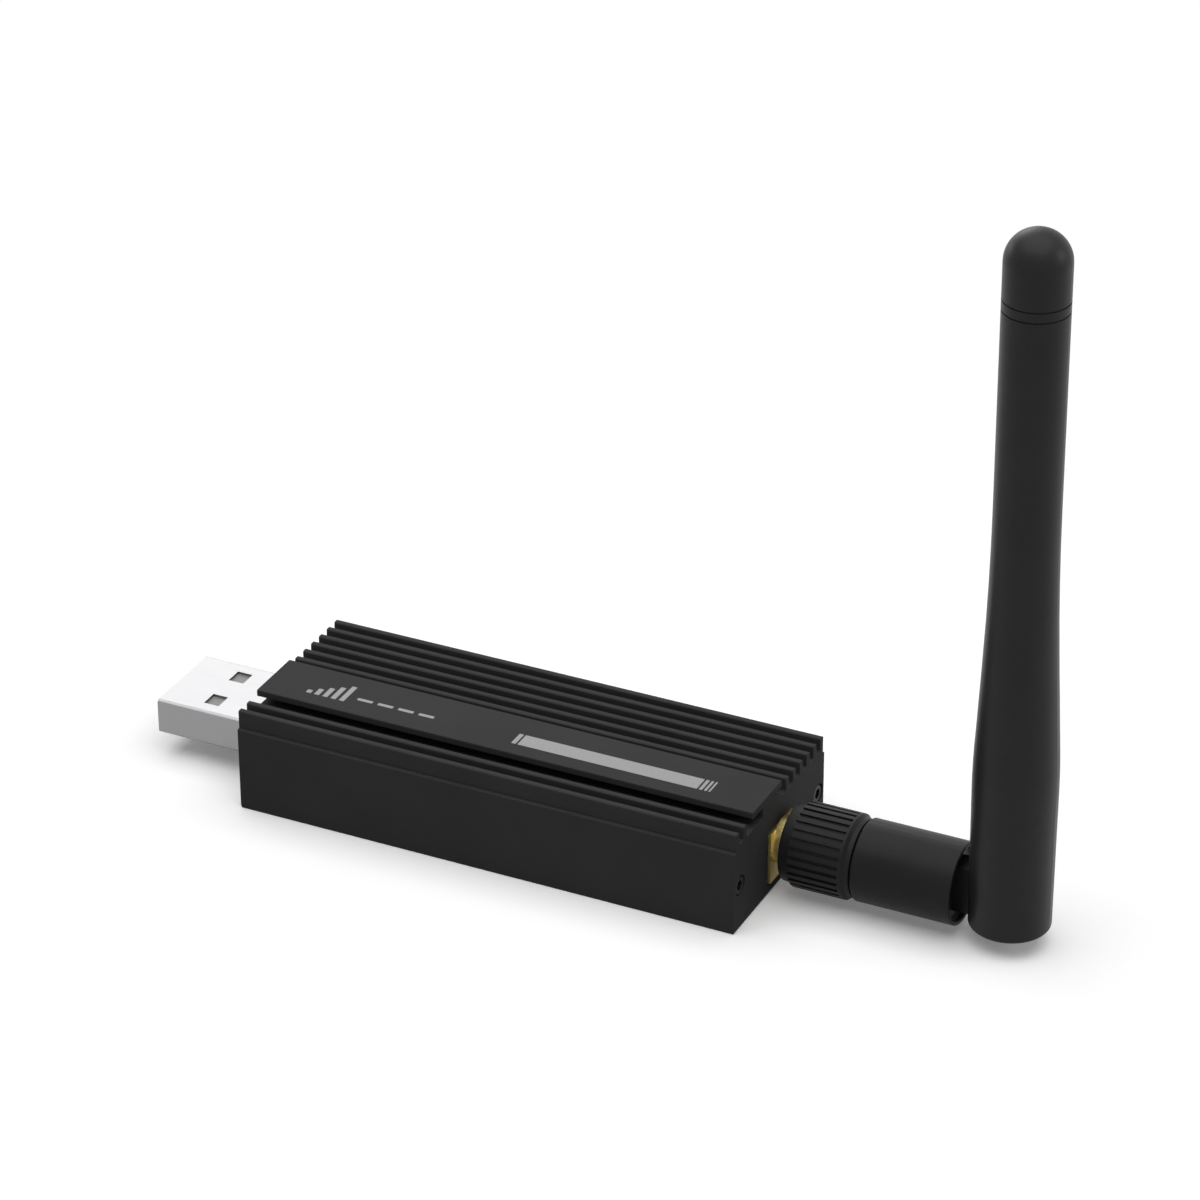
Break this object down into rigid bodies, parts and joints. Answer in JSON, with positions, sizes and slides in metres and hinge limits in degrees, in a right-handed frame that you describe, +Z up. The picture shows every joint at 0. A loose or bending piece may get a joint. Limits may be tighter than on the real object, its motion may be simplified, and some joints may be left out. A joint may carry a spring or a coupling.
{
  "type": "usb radio stick",
  "caption": "Finned aluminium stick with a USB-A plug at one end and a screw-on antenna at the other; the antenna turns in its nut and its rod folds from upright to straight.",
  "frame": {"origin": "centre of the case's flat bottom face", "axes": "+X along the stick from the USB plug to the antenna, +Y across the case towards the wider group of fins, +Z up, out of the finned side"},
  "size_m": [0.1121, 0.025, 0.0882],
  "materials": {
    "black_anodised_aluminium": "black anodised, fine satin",
    "black_steel": "black oxide, satin",
    "nickel_plated_steel": "bright nickel plating",
    "tinned_steel": "tinned, satin",
    "gold_plated_contact": "gold plated, bright",
    "gold_plated_brass": "gold plated, satin",
    "black_plated_brass": "black nickel plating",
    "radiator_brass": "bare, drawn",
    "circuit_board_laminate": "dark green solder mask, gloss",
    "chip_plastic": "moulded black, fine matt",
    "ceramic_white": "fired, matt",
    "ceramic_tan": "fired, satin",
    "resistor_black": "glazed black, satin",
    "red_led_lens": "clear tinted lens, gloss",
    "green_led_lens": "clear tinted lens, gloss",
    "black_moulded_plastic": "moulded black, matt",
    "grey_moulded_plastic": "moulded grey, matt",
    "black_nut_plastic": "moulded black, satin",
    "black_antenna_plastic": "moulded black, satin",
    "black_rod_plastic": "moulded black, fine satin",
    "white_insulator": "turned white plastic, waxy",
    "brown_lead_jacket": "extruded brown plastic, satin"
  },
  "bodies": {
    "case": {"case_extrusion": "black_anodised_aluminium", "antenna_end_plate": "black_anodised_aluminium", "usb_end_plate": "black_anodised_aluminium", "usb_end_screw_front": "black_steel", "usb_end_screw_back": "black_steel", "antenna_end_screw_front": "black_steel", "antenna_end_screw_back": "black_steel", "usb_plug_shell": "nickel_plated_steel", "usb_plug_core": "grey_moulded_plastic", "usb_contact_1": "gold_plated_contact", "usb_contact_2": "gold_plated_contact", "usb_contact_3": "gold_plated_contact", "usb_contact_4": "gold_plated_contact", "circuit_board": "circuit_board_laminate", "radio_shield_can": "tinned_steel", "radio_chip": "chip_plastic", "radio_crystal": "tinned_steel", "clock_crystal": "tinned_steel", "antenna_filter": "ceramic_white", "usb_bridge_chip": "chip_plastic", "voltage_regulator": "chip_plastic", "power_led": "red_led_lens", "status_led": "green_led_lens", "capacitors": "ceramic_tan", "resistors": "resistor_black", "reset_switch_body": "black_moulded_plastic", "boot_switch_body": "black_moulded_plastic", "jack_body": "gold_plated_brass", "jack_insulator": "white_insulator", "jack_contact": "gold_plated_contact"},
    "antenna_nut": {"antenna_nut": "black_plated_brass", "antenna_nut_grip": "black_nut_plastic"},
    "antenna_base": {"hinge_body": "black_antenna_plastic", "antenna_ferrule": "black_plated_brass", "antenna_plug_insulator": "white_insulator", "antenna_plug_pin": "gold_plated_contact", "lead_in_hinge": "brown_lead_jacket", "pivot_pin": "nickel_plated_steel"},
    "antenna_rod": {"antenna_sheath": "black_rod_plastic", "lead_in_rod": "brown_lead_jacket", "radiator_tube": "radiator_brass", "radiator_whip": "radiator_brass", "whip_spacer": "white_insulator"},
    "reset_stem": {"reset_switch_stem": "grey_moulded_plastic"},
    "boot_stem": {"boot_switch_stem": "grey_moulded_plastic"}
  },
  "joints": [
    {"name": "nut_spin", "type": "hinge", "parent": "case", "child": "antenna_nut", "pos_m": [0.038, 0, 0.00595], "axis": [1, 0, 0], "continuous": true},
    {"name": "antenna_swivel", "type": "hinge", "parent": "case", "child": "antenna_base", "pos_m": [0.0485, 0, 0.00595], "axis": [1, 0, 0], "continuous": true},
    {"name": "antenna_fold", "type": "hinge", "parent": "antenna_base", "child": "antenna_rod", "pos_m": [0.0604, 0, 0.00595], "axis": [0, 1, 0], "range_deg": [0, 90]},
    {"name": "reset_press", "type": "slide", "parent": "case", "child": "reset_stem", "axis": [0, 0, -1], "range_m": [0, 0.00025], "stiffness_N_per_m": 2000},
    {"name": "boot_press", "type": "slide", "parent": "case", "child": "boot_stem", "axis": [0, 0, -1], "range_m": [0, 0.00025], "stiffness_N_per_m": 2000}
  ]
}
